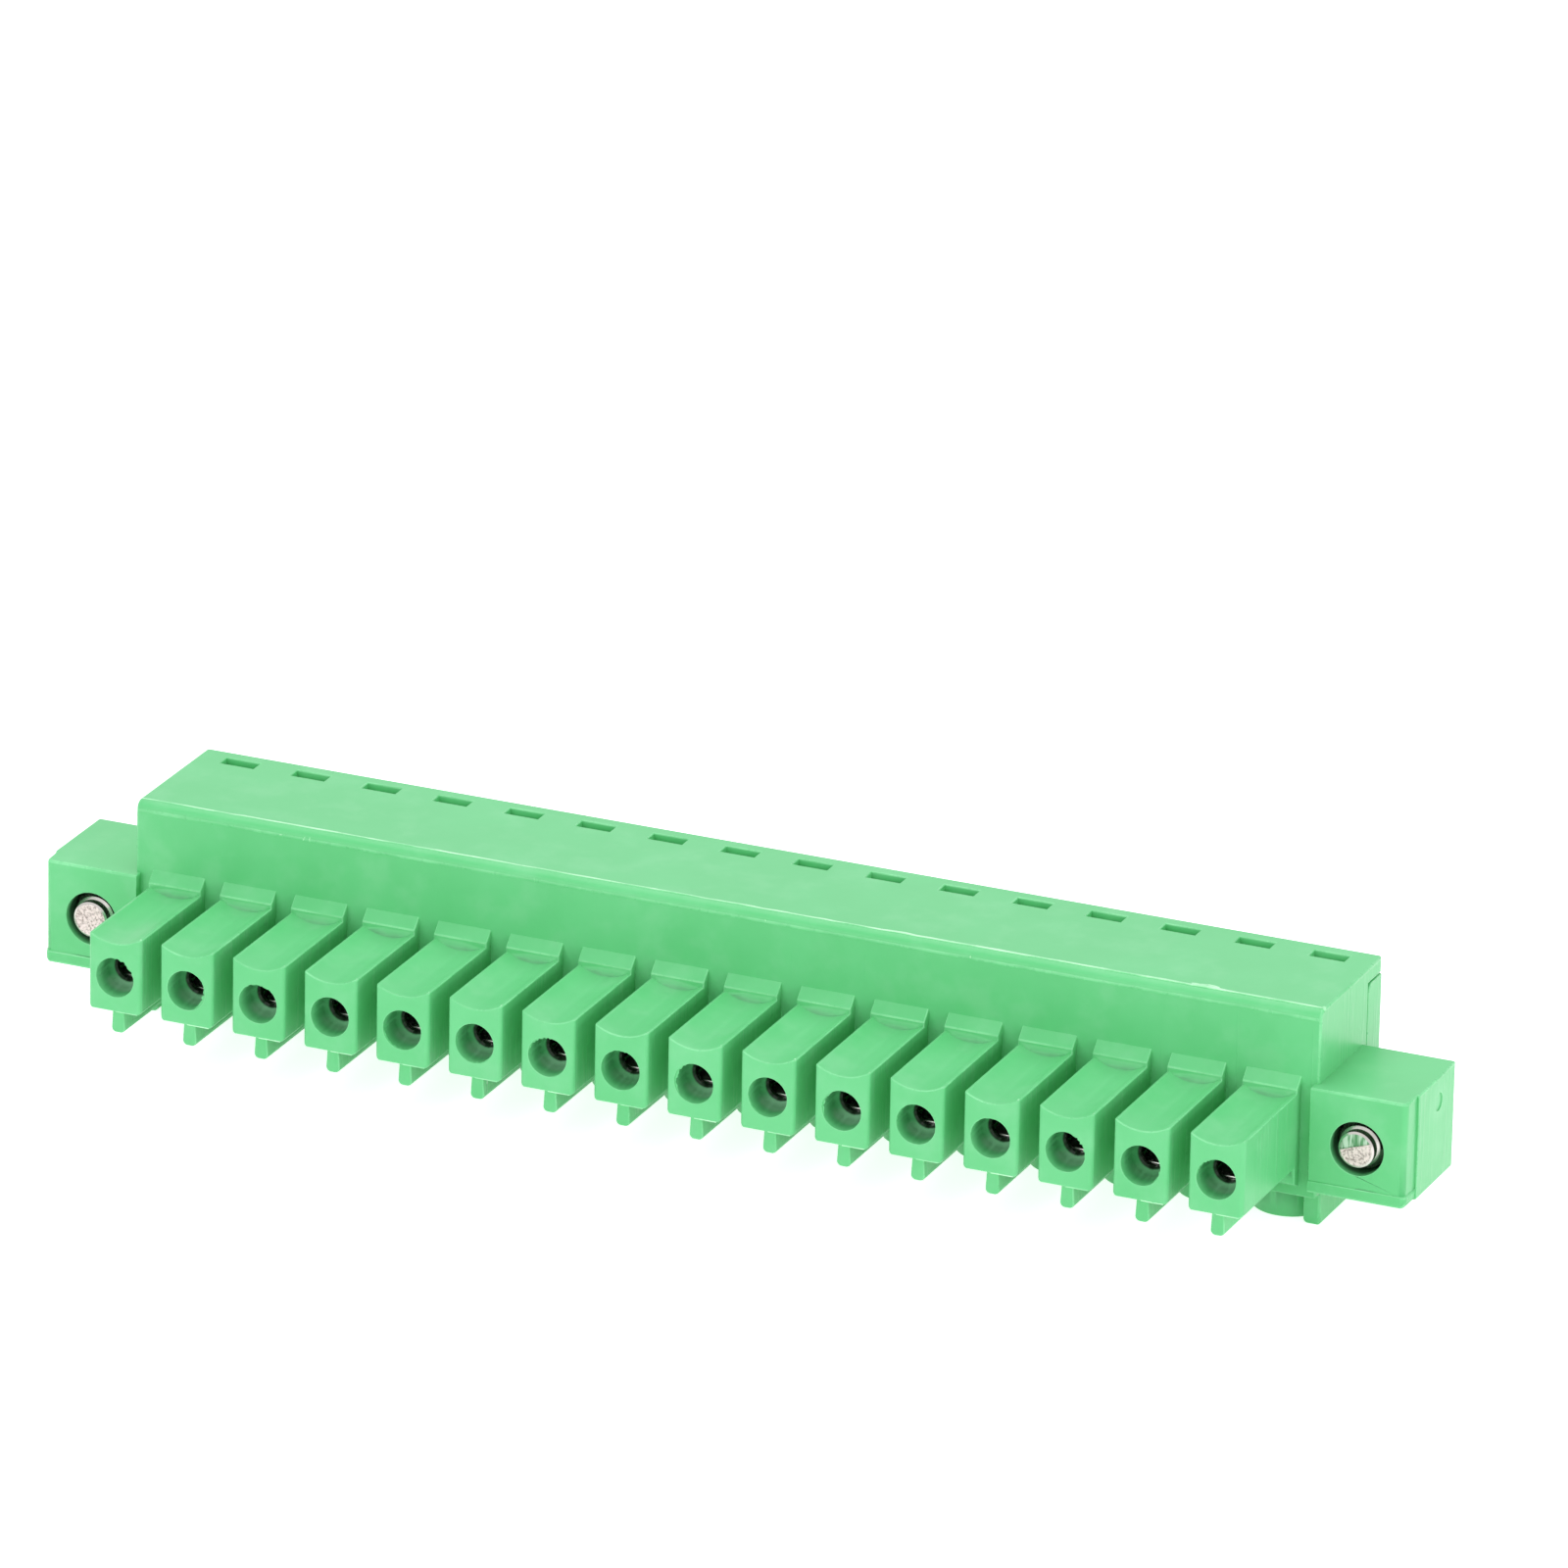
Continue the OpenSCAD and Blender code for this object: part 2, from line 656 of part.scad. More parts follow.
module lock_screw(side) color(nickel) in_place() difference() {
    turned_y(side_x(side), lock_z) lock_screw_profile();
    translate([side_x(side), lock_head_y + lock_head_l, lock_z])
        cube([lock_head_d + 1, 2 * lock_slot_depth, lock_slot_w], center = true);
}

module lock_washer(side) color(steel) in_place() turned_y(side_x(side), lock_z)
    rectangle(lock_neck_d / 2 + thread_gap, lock_head_d / 2, washer_y, lock_head_y - washer_gap);

// ---- the plug ------------------------------------------------------------------------------------------------

housing();
rear_cover();
for (side = sides) lock_screw(side);
for (side = sides) lock_washer(side);
for (n = [1:poles]) contact(n);
for (n = [1:poles]) clamp_screw(n);
for (n = [1:poles]) clamp_cage(n);
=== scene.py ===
"""Looks of a pluggable terminal block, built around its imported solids.

Lengths are in metres, in the frame of the solids: +X runs along the row of poles, the contact fingers point
to -Y, and the plug stands on its screw side at z = 0. Lengths given in millimetres are multiplied by MM.
"""

import json
import math
import random
from contextlib import contextmanager

import bmesh
import bpy
from mathutils import Matrix, Vector

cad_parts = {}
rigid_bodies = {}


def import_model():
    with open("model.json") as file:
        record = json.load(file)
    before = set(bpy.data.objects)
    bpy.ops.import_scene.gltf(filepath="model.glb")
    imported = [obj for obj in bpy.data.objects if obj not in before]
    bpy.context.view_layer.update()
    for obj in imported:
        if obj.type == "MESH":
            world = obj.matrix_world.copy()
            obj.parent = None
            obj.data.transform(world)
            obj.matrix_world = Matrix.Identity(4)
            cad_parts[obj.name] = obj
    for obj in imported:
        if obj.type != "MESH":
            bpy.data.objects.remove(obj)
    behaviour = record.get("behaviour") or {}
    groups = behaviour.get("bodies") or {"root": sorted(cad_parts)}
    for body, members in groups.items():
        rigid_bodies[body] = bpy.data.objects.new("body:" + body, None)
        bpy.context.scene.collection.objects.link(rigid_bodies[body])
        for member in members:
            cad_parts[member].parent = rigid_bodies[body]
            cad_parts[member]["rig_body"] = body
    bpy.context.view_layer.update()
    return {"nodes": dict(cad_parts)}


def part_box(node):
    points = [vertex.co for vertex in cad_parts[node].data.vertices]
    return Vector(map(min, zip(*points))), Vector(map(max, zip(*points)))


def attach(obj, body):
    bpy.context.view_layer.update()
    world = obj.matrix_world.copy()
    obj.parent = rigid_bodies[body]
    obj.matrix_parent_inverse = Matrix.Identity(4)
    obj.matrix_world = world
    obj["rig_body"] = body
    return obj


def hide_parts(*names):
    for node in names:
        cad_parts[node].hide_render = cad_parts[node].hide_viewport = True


MM = 0.001
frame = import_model()
nodes = frame["nodes"]

# ---- places on the plug ------------------------------------------------------------------------------------


def middle(node):
    low, high = (Vector(corner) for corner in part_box(node))
    return (low + high) / 2


housing_low, housing_high = (Vector(corner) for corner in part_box("housing"))
CONTACTS = sorted(name for name in nodes if name.startswith("contact_"))
POLE_X = [middle(name).x for name in CONTACTS]
PITCH = POLE_X[1] - POLE_X[0]

# sizes of the solids that their trim and their finishes follow
FINGER_FRONT = housing_low.y
FINGER_L = 7.1 * MM
FINGER_W = 2.8 * MM
AXIS_Z = housing_low.z + 4.84 * MM
FINGER_TOP = AXIS_Z + 2.11 * MM
FINGER_UNDER = AXIS_Z - 1.76 * MM
OPENING_R = 1.0 * MM
BODY_FRONT = FINGER_FRONT + FINGER_L
BODY_TOP = AXIS_Z + 6.28 * MM
BODY_END = POLE_X[-1] + PITCH / 2 + 0.405 * MM
TOP_PLATE = 0.85 * MM
FRONT_EDGE_R = 0.45 * MM
FLANGE_FRONT = BODY_FRONT - 0.51 * MM
FLANGE_SIDE = housing_high.x
EJECTOR_MARK_Y = FLANGE_FRONT + 3.9 * MM
EJECTOR_MARK_Z = AXIS_Z + 1.33 * MM

LOCK_SCREWS = {side: middle("lock_screw_" + side) for side in ("left", "right")}
LOCK_X = LOCK_SCREWS["right"].x
LOCK_Z = LOCK_SCREWS["left"].z
LOCK_TIP_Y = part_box("lock_screw_left")[0][1]
LOCK_BACK_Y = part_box("lock_screw_left")[1][1]
LOCK_TIP_L = 0.5 * MM
LOCK_THREAD_L = 2.0 * MM
LOCK_HEAD_L = 1.4 * MM
LOCK_PITCH = 0.45 * MM
LOCK_BORE_R = 1.35 * MM


# ---- camera, light and floor -------------------------------------------------------------------------------


def turned_basis(azimuth, elevation, roll):
    """The camera's right, up and back directions, from angles in degrees."""
    a, e = math.radians(azimuth), math.radians(elevation)
    back = Vector((math.sin(a) * math.cos(e), -math.cos(a) * math.cos(e), math.sin(e)))
    right = Vector((0, 0, 1)).cross(back).normalized()
    up = back.cross(right)
    turn = Matrix.Rotation(math.radians(roll), 3, back)
    return turn @ right, turn @ up, back


def add_camera():
    right, up, back = turned_basis(azimuth=23.13, elevation=21.13, roll=1.15)
    aim = Vector((1.04, 4.70, 15.69)) * MM
    distance = 689.5 * MM
    data = bpy.data.cameras.new("camera")
    data.sensor_width = 36
    data.lens = 330.9
    camera = bpy.data.objects.new("camera", data)
    bpy.context.scene.collection.objects.link(camera)
    place = Matrix((right, up, back)).transposed().to_4x4()
    place.translation = aim + back * distance
    camera.matrix_world = place
    bpy.context.scene.camera = camera


def add_softbox(name, place, width, height, power):
    """A lamp of a width and a height in metres and a power in watts, turned to the plug."""
    data = bpy.data.lights.new(name, "AREA")
    data.shape = "RECTANGLE"
    data.size = width
    data.size_y = height
    data.energy = power
    lamp = bpy.data.objects.new(name, data)
    bpy.context.scene.collection.objects.link(lamp)
    lamp.location = place
    lamp.rotation_euler = (Vector((0, 0, 0.005)) - Vector(place)).to_track_quat("-Z", "Y").to_euler()


def add_light():
    """Softboxes in a white room, whose own light is weaker than the white that it shows."""
    room_light = 0.65
    world = bpy.data.worlds.new("studio")
    bpy.context.scene.world = world
    world.use_nodes = True
    sky = Nodes(world.node_tree, "Background")
    sky.set(Color=(1, 1, 1, 1), Strength=room_light + (1 - room_light) * sky.shown())
    add_softbox("top_softbox", (-0.10, 0.05, 0.60), 0.60, 0.50, 1.98)
    add_softbox("front_softbox", (-0.15, -0.60, 0.14), 0.60, 0.30, 1.02)
    add_softbox("right_softbox", (0.55, -0.12, 0.14), 0.30, 0.26, 0.84)


# ---- materials ---------------------------------------------------------------------------------------------

POLYAMIDE_IOR = 1.53


class Value:
    """A number that varies from place to place: arithmetic on it adds the Math node."""

    def __init__(self, owner, socket):
        self.owner, self.socket = owner, socket

    def _math(self, operation, *values):
        node = self.owner.node("ShaderNodeMath", {"operation": operation}, *values)
        return Value(self.owner, node.outputs[0])

    def __add__(self, other):
        return self._math("ADD", self, other)

    def __sub__(self, other):
        return self._math("SUBTRACT", self, other)

    def __rsub__(self, other):
        return self._math("SUBTRACT", other, self)

    def __mul__(self, other):
        return self._math("MULTIPLY", self, other)

    def __gt__(self, other):
        return self._math("GREATER_THAN", self, other)

    def __lt__(self, other):
        return self._math("LESS_THAN", self, other)

    def __abs__(self):
        return self._math("ABSOLUTE", self)

    def __mod__(self, other):
        return self._math("FLOORED_MODULO", self, other)

    __radd__ = __add__
    __rmul__ = __mul__


class Nodes:
    """A tree of nodes around its shader, with short ways to add nodes and to set the shader."""

    def __init__(self, tree, shader):
        self.tree = tree
        self.shader = tree.nodes[shader]

    def node(self, kind, settings, *values, **inputs):
        """Adds a node: its settings first, then its sockets, by order or by name, each a value or a link."""
        node = self.tree.nodes.new(kind)
        for key, value in settings.items():
            setattr(node, key, value)
        named = {key.replace("_", " "): value for key, value in inputs.items()}
        for key, value in [*enumerate(values), *named.items()]:
            self.feed(node.inputs[key], value)
        return node

    def feed(self, socket, value):
        source = value.socket if isinstance(value, Value) else value
        if isinstance(source, bpy.types.NodeSocket):
            self.tree.links.new(source, socket)
        else:
            socket.default_value = source

    def set(self, **inputs):
        for key, value in inputs.items():
            self.feed(self.shader.inputs[key.replace("_", " ")], value)

    def shown(self):
        """1 where something is seen, straight, mirrored or through glass, and 0 where it lights the plug."""
        rays = self.node("ShaderNodeLightPath", {}).outputs
        straight, mirrored, through = (
            Value(self, rays[f"Is {kind} Ray"]) for kind in ("Camera", "Glossy", "Transmission")
        )
        return straight + mirrored + through > 0.5


class Finish(Nodes):
    """A material, with short ways to add its patterns."""

    def __init__(self, name):
        self.material = bpy.data.materials.new(name)
        self.material.use_nodes = True
        super().__init__(self.material.node_tree, "Principled BSDF")

    def place(self):
        return self.node("ShaderNodeTexCoord", {}).outputs["Object"]

    def parts(self, vector):
        """The x, y and z of a vector."""
        return [Value(self, output) for output in self.node("ShaderNodeSeparateXYZ", {}, vector).outputs]

    def facing(self):
        """The x, y and z of the surface's own direction."""
        return self.parts(self.node("ShaderNodeTexCoord", {}).outputs["Normal"])

    def stretched(self, scale):
        """The place in the object, scaled along x, y and z."""
        return self.node("ShaderNodeMapping", {}, Vector=self.place(), Scale=scale).outputs[0]

    def noise(self, scale, detail=2.0, roughness=0.5, vector=None):
        inputs = {"Vector": vector or self.place(), "Scale": scale, "Detail": detail, "Roughness": roughness}
        return Value(self, self.node("ShaderNodeTexNoise", {}, **inputs).outputs["Fac"])

    def between(self, value, low, high):
        """0 up to low, 1 from high, smooth in between."""
        node = self.node("ShaderNodeMapRange", {"interpolation_type": "SMOOTHSTEP"}, value, low, high)
        return Value(self, node.outputs[0])

    def near(self, point, radius, soft):
        """1 within a radius of a point, fading to 0 over a soft rim."""
        node = self.node("ShaderNodeVectorMath", {"operation": "DISTANCE"}, self.place(), tuple(point))
        return self.between(Value(self, node.outputs["Value"]), radius + soft, radius)

    def blend(self, amount, colour, other):
        """The colour at an amount of 0, and the other at 1."""
        node = self.node("ShaderNodeMix", {"data_type": "RGBA"})
        self.feed(node.inputs["Factor"], amount)
        self.feed(node.inputs[6], colour)
        self.feed(node.inputs[7], other)
        return node.outputs[2]

    def relief(self, height, distance, under=None):
        """A bump of a height from 0 to 1 over a distance, on top of another bump."""
        node = self.node("ShaderNodeBump", {}, Height=height, Distance=distance)
        if under:
            self.feed(node.inputs["Normal"], under)
        return node.outputs[0]


def drag_lines(finish, facing_x):
    """The lines that the mould drew up the end faces as it opened."""
    on_ends = finish.between(abs(facing_x), 0.85, 0.97)
    return finish.between(finish.noise(90, 3, 0.7, finish.stretched((1, 38, 2.2))), 0.50, 0.68) * on_ends


def pole_lines(finish, x, y, facing_y):
    """A faint line at each boundary between two poles, on the front face only."""
    on_front = (y > BODY_FRONT - 0.06 * MM) * (y < BODY_FRONT + 0.2 * MM)
    on_front = on_front * finish.between(0 - facing_y, 0.8, 0.95)
    from_line = abs((x - POLE_X[0]) % PITCH - PITCH / 2)
    return finish.between(from_line, 0.04 * MM, 0.0) * on_front * finish.between(finish.noise(70), 0.52, 0.66)


def specks(finish):
    """Pale and dark specks, in some of the cells of a random grid."""
    cells = finish.node("ShaderNodeTexVoronoi", {}, Vector=finish.place(), Scale=330)
    first, second, _ = finish.parts(cells.outputs["Color"])
    close = finish.between(Value(finish, cells.outputs["Distance"]), 0.035, 0.022)
    return close * (first > 0.88), close * (second > 0.96) * (first < 0.88)


def pressed(finish):
    """1 where the plastic was pressed hard, around the ejector mark on each flange."""
    left, right = (
        finish.near((sign * (FLANGE_SIDE - 0.05 * MM), EJECTOR_MARK_Y, EJECTOR_MARK_Z), 0.3 * MM, 1.1 * MM)
        for sign in (-1, 1)
    )
    return left + right


def painted_bore_shade(finish, green, x, y, z):
    """The green, darkened by painted shade in the bores of the lock screws."""
    across, up = abs(x) - LOCK_X, z - LOCK_Z
    bore = (across * across + up * up < (LOCK_BORE_R + 0.07 * MM) ** 2) * (y < BODY_FRONT + 3 * MM)
    behind_front = finish.between(y, FLANGE_FRONT, FLANGE_FRONT + 0.6 * MM)
    return finish.blend(bore * behind_front * 0.88, green, (0.008, 0.03, 0.012, 1))


def painted_opening_shade_and_highlight(finish, green, x, y, z, clouds):
    """The green, with painted shade darkening the openings' walls, a painted highlight making their floors
    paler, and painted shade making their throats almost black.
    """
    across = abs((x - POLE_X[0] + PITCH / 2) % PITCH - PITCH / 2)
    up, depth = z - AXIS_Z, y - FINGER_FRONT
    inside = (across * across + up * up < (1.06 * OPENING_R) ** 2) * (y < BODY_FRONT - 0.3 * MM)
    inside = inside * (abs(x) < POLE_X[-1] + PITCH / 2)
    painted_wall_shade = inside * finish.between(depth, 0.06 * MM, 0.9 * MM)
    floor = inside * finish.between(up, -0.35 * MM, -0.80 * MM) * finish.between(depth, 0.5 * MM, 1.2 * MM)
    painted_throat_shade = inside * finish.between(depth, 1.50 * MM, 1.58 * MM)
    green = finish.blend(painted_wall_shade * 0.45, green, (0.04, 0.24, 0.09, 1))
    # painted highlight: the floors of the openings are made paler
    green = finish.blend(floor * (0.25 + clouds * 0.4), green, (0.42, 0.66, 0.50, 1))
    return finish.blend(painted_throat_shade * 0.95, green, (0.012, 0.012, 0.009, 1))


def moulded_green(name):
    """Light green polyamide: satin and slightly cloudy, with pale specks and the marks of its mould."""
    finish = Finish(name)
    x, y, z = finish.parts(finish.place())
    facing_x, facing_y, facing_z = finish.facing()
    clouds = finish.between(finish.noise(150, 3, 0.6), 0.35, 0.68)
    haze = finish.between(finish.noise(420, 3, 0.6), 0.45, 0.75)
    grain = finish.noise(2600, 3)
    # painted light: faces that point up are made paler, as if lit from above
    painted_top_light = finish.between(facing_z, 0.85, 0.98)
    drag = drag_lines(finish, facing_x)
    pale, dark = specks(finish)

    paleness = haze * 0.22 + pressed(finish) * 0.25 + drag * 0.20 + painted_top_light * 0.10
    green = finish.blend(clouds, (0.125, 0.572, 0.218, 1), (0.146, 0.602, 0.245, 1))
    green = finish.blend(paleness, green, (0.30, 0.70, 0.40, 1))
    green = finish.blend(pale * 0.6, green, (0.60, 0.85, 0.66, 1))
    green = finish.blend(dark * 0.7, green, (0.02, 0.06, 0.03, 1))
    # painted shade inside the bores of the lock screws
    green = painted_bore_shade(finish, green, x, y, z)
    # painted shade and a painted highlight inside the contact openings
    green = painted_opening_shade_and_highlight(finish, green, x, y, z, clouds)

    waves = finish.relief(finish.noise(300, 2), 0.012 * MM)
    lines = finish.relief(pole_lines(finish, x, y, facing_y) * 0.5 + drag * 0.5, 0.02 * MM, waves)
    finish.set(
        Base_Color=green,
        Roughness=0.28 + clouds * 0.06 + haze * 0.05 + grain * 0.05,
        IOR=POLYAMIDE_IOR,
        Specular_IOR_Level=0.28,
        Normal=finish.relief(grain, 0.002 * MM, lines),
    )
    return finish.material


def painted_edge_highlight(name):
    """The same plastic on its rounded edges: paler in patches, a painted highlight for the light they catch,
    and rubbed glossier.
    """
    finish = Finish(name)
    highlight_patches = finish.between(finish.noise(500, 3, 0.6), 0.35, 0.7)
    grain = finish.noise(2600, 3)
    finish.set(
        Base_Color=finish.blend(highlight_patches, (0.140, 0.600, 0.238, 1), (0.21, 0.70, 0.32, 1)),
        Roughness=0.24 + grain * 0.08,
        IOR=POLYAMIDE_IOR,
        Normal=finish.relief(grain, 0.002 * MM),
    )
    return finish.material


def thin_highlit_flash(name):
    """Flash of the same plastic, so thin that it is almost white: its paleness is partly its own and partly a
    painted highlight.
    """
    finish = Finish(name)
    patches = finish.between(finish.noise(260, 3, 0.6), 0.35, 0.65)
    finish.set(
        Base_Color=finish.blend(patches, (0.24, 0.74, 0.35, 1), (0.58, 0.98, 0.66, 1)),
        Roughness=0.22 + patches * 0.1,
        IOR=POLYAMIDE_IOR,
        Normal=finish.relief(finish.noise(2200, 2), 0.004 * MM),
    )
    return finish.material


def plated(name, colour, roughness):
    """Bright plated metal with a fine worn grain."""
    finish = Finish(name)
    grain = finish.noise(900, 4)
    worn = finish.between(finish.noise(360, 3), 0.4, 0.7)
    duller = tuple(0.80 * part for part in colour)
    finish.set(
        Base_Color=finish.blend(worn, (*colour, 1), (*duller, 1)),
        Metallic=1.0,
        Roughness=roughness + grain * 0.12,
        Normal=finish.relief(grain, 0.004 * MM),
    )
    return finish.material


def sheared_metal(name):
    """The torn, pinkish end of a cut-off screw."""
    finish = Finish(name)
    coarse = finish.noise(6500, 4, 0.75)
    fine = finish.noise(15000, 3, 0.7)
    torn = finish.between(coarse, 0.36, 0.56)
    finish.set(
        Base_Color=finish.blend(torn, (0.30, 0.24, 0.22, 1), (0.76, 0.66, 0.64, 1)),
        Metallic=0.75,
        Roughness=0.42 + fine * 0.25,
        Normal=finish.relief(coarse * 0.7 + fine * 0.3, 0.10 * MM),
    )
    return finish.material


def sheared_face_green_reflection(name):
    """The smooth half of a cut-off screw's end, with fine drag lines, its green tint a painted reflection of
    the plastic around it.
    """
    finish = Finish(name)
    lines = finish.between(finish.noise(900, 2, 0.6, finish.stretched((9, 1, 1))), 0.40, 0.60)
    finish.set(
        Base_Color=finish.blend(lines, (0.08, 0.22, 0.10, 1), (0.36, 0.50, 0.38, 1)),
        Metallic=0.85,
        Roughness=0.30,
    )
    return finish.material


def pale_floor():
    """A floor that keeps a faint shadow, lifted to white where it is seen, and clear from below."""
    finish = Finish("pale_floor")
    below = Value(finish, finish.node("ShaderNodeNewGeometry", {}).outputs["Backfacing"])
    finish.set(
        Base_Color=(0.90, 0.90, 0.90, 1),
        Roughness=0.9,
        Specular_IOR_Level=0.1,
        Emission_Color=finish.blend(finish.shown(), (0.28, 0.28, 0.28, 1), (1, 1, 1, 1)),
        Emission_Strength=0.78,
        Alpha=1 - below,
    )
    return finish.material


def add_floor():
    bpy.ops.mesh.primitive_plane_add(size=6, location=(0, 0, -0.01 * MM))
    floor = bpy.context.object
    floor.name = "floor"
    floor.data.materials.append(pale_floor())


# ---- modelling by hand -------------------------------------------------------------------------------------


def pick(piece):
    bpy.ops.object.select_all(action="DESELECT")
    piece.select_set(True)
    bpy.context.view_layer.objects.active = piece


@contextmanager
def editing(piece, mode="FACE"):
    """Edits a piece by its faces or edges, all of them selected at first."""
    pick(piece)
    bpy.ops.object.mode_set(mode="EDIT")
    bpy.ops.mesh.select_mode(type=mode)
    bpy.ops.mesh.select_all(action="SELECT")
    yield
    bpy.ops.object.mode_set(mode="OBJECT")


def choose(kind, test):
    """Selects the faces, edges or verts of the edited piece that pass a test, and nothing else."""
    bpy.ops.mesh.select_all(action="DESELECT")
    mesh = bpy.context.object.data
    shape = bmesh.from_edit_mesh(mesh)
    for item in getattr(shape, kind):
        if test(item):
            item.select_set(True)
    bmesh.update_edit_mesh(mesh)


def modify(piece, kind, **settings):
    """Adds a modifier and applies it."""
    pick(piece)
    modifier = piece.modifiers.new(kind.lower(), kind)
    for key, value in settings.items():
        setattr(modifier, key, value)
    bpy.ops.object.modifier_apply(modifier=modifier.name)


def settle(piece, name):
    """Names a piece and moves its place into its mesh."""
    piece.name = piece.data.name = name
    pick(piece)
    bpy.ops.object.transform_apply(location=True, rotation=True, scale=True)


def smooth(piece, angle=32):
    """Shades a piece smoothly, except across edges sharper than an angle in degrees."""
    pick(piece)
    bpy.ops.object.shade_smooth_by_angle(angle=math.radians(angle))


def paint(piece, *materials):
    piece.data.materials.clear()
    for material in materials:
        piece.data.materials.append(material)


def copy_of(piece, name):
    """A copy with its own mesh."""
    twin = bpy.data.objects.new(name, piece.data.copy())
    twin.data.name = name
    bpy.context.scene.collection.objects.link(twin)
    return twin


def mark_outer_edges(piece, width, wanted):
    """Marks each sharp outer edge with its share of the width: what is wanted there, where there is room."""
    shape = bmesh.new()
    shape.from_mesh(piece.data)
    weight = shape.edges.layers.float.new("bevel_weight_edge")
    for edge in shape.edges:
        if len(edge.link_faces) != 2 or not edge.is_convex or edge.calc_face_angle() < math.radians(30):
            continue
        along = (edge.verts[1].co - edge.verts[0].co).normalized()
        room = wanted((edge.verts[0].co + edge.verts[1].co) / 2, along)
        for vertex in edge.verts:
            for other in vertex.link_edges:
                arm = other.other_vert(vertex).co - vertex.co
                if other is not edge and abs(arm.normalized().dot(along)) < 0.8:
                    room = min(room, 0.42 * arm.length)
        edge[weight] = room / width
    shape.to_mesh(piece.data)
    shape.free()


def rounded(node, width, finish, rim_finish, weld=1e-6, segments=2, wanted=None, cuts=()):
    """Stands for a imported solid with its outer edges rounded, as moulding and barrelling leave them.

    Flat faces are joined first; the cuts, each a point and a direction, keep the joined faces small.
    """
    piece = copy_of(nodes[node], node + "_rounded")
    with editing(piece, "EDGE"):
        bpy.ops.mesh.remove_doubles(threshold=1e-6)
        for point, direction in cuts:
            bpy.ops.mesh.select_all(action="SELECT")
            bpy.ops.mesh.bisect(plane_co=point, plane_no=direction)
            bpy.ops.mesh.mark_seam()
        bpy.ops.mesh.select_all(action="SELECT")
        bpy.ops.mesh.dissolve_limited(angle_limit=math.radians(0.5), delimit={"SEAM"})
        bpy.ops.mesh.select_all(action="SELECT")
        bpy.ops.mesh.remove_doubles(threshold=weld)
    mark_outer_edges(piece, width, wanted or (lambda place, along: width))
    paint(piece, finish, rim_finish)
    modify(
        piece,
        "BEVEL",
        width=width,
        segments=segments,
        limit_method="WEIGHT",
        use_clamp_overlap=False,
        material=1,
    )
    smooth(piece)
    modify(piece, "WEIGHTED_NORMAL", weight=100, keep_sharp=True)
    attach(piece, nodes[node]["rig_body"])
    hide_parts(node)


# how wide the outer edges of the housing are rounded
CORNER_EDGE = 0.30 * MM
END_EDGE = 0.13 * MM
REAR_EDGE = 0.07 * MM
PLAIN_EDGE = 0.06 * MM
HOLE_EDGE = 0.035 * MM


def housing_edge(place, along):
    """How wide an outer edge of the housing is rounded, by where it is. The openings' throats stay sharp."""
    from_opening = math.hypot(min(abs(place.x - x) for x in POLE_X), place.z - AXIS_Z)
    from_lock = math.hypot(abs(place.x) - LOCK_X, place.z - LOCK_Z)
    upright = abs(along.z) > 0.9
    on_top_plate = place.z > BODY_TOP - TOP_PLATE and place.y > 0
    on_flange_back = abs(place.x) > FLANGE_SIDE - 0.1 * MM and place.y > BODY_FRONT + 3 * MM
    if from_opening < OPENING_R * 1.05 and place.y < BODY_FRONT - 1 * MM:
        return HOLE_EDGE if place.y < FINGER_FRONT + 0.5 * MM else 0
    if from_lock < LOCK_BORE_R + 0.15 * MM and place.y < BODY_FRONT + 2 * MM:
        return HOLE_EDGE
    if upright and (on_top_plate or on_flange_back):
        return CORNER_EDGE
    if abs(place.x) > BODY_END - 0.01 * MM:
        return END_EDGE
    if place.y > BODY_FRONT + 0.5 * MM:
        return REAR_EDGE
    return PLAIN_EDGE


# ---- flash and burrs ---------------------------------------------------------------------------------------


def flash_line(name, ends, y, z, width, height, lumps, seed, cuts=260, ragged=0.25):
    """A ragged line of flash along x.

    Its ends are its first and last x, and its lumps are (x, reach, height) in millimetres. Its raggedness is
    a share of its height.
    """
    rng = random.Random(seed)
    x0, x1 = ends
    bpy.ops.mesh.primitive_cube_add(size=1, location=((x0 + x1) / 2, y, z), scale=(x1 - x0, width, height))
    ridge = bpy.context.object
    settle(ridge, name)
    with editing(ridge, "EDGE"):
        choose("edges", lambda edge: abs(edge.verts[0].co.x - edge.verts[1].co.x) > (x1 - x0) / 2)
        bpy.ops.mesh.subdivide(number_cuts=cuts)
    wander = [rng.uniform(-1, 1) for _ in range(400)]
    step = (x1 - x0) / (cuts + 1)

    def along(x, spacing):
        index = int((x - x0) / spacing)
        share = (x - x0) / spacing - index
        return wander[index % len(wander)] * (1 - share) + wander[(index + 1) % len(wander)] * share

    for vertex in ridge.data.vertices:
        x = vertex.co.x
        lift = ragged * height * (along(x, 2.3 * step) + along(x, 0.8 * MM))
        for lump in lumps:
            lump_x, reach, lump_height = (part * MM for part in lump)
            lift += lump_height * math.exp(-(((x - lump_x) / reach) ** 2))
        if vertex.co.z > z:
            vertex.co.z += lift
        vertex.co.y += 0.2 * width * along(x, 0.6 * MM)
    modify(ridge, "BEVEL", width=0.25 * min(width, height), segments=2, use_clamp_overlap=True)
    smooth(ridge, 60)
    return ridge


def crumb(name, place, size, seed):
    """A small torn crumb of plastic."""
    rng = random.Random(seed)
    bpy.ops.mesh.primitive_ico_sphere_add(subdivisions=2, radius=1, location=place, scale=size)
    piece = bpy.context.object
    piece.rotation_euler = [rng.uniform(0, 3) for _ in range(3)]
    settle(piece, name)
    centre = Vector(place)
    for vertex in piece.data.vertices:
        vertex.co = centre + (vertex.co - centre) * rng.uniform(0.7, 1.25)
    smooth(piece, 60)
    return piece


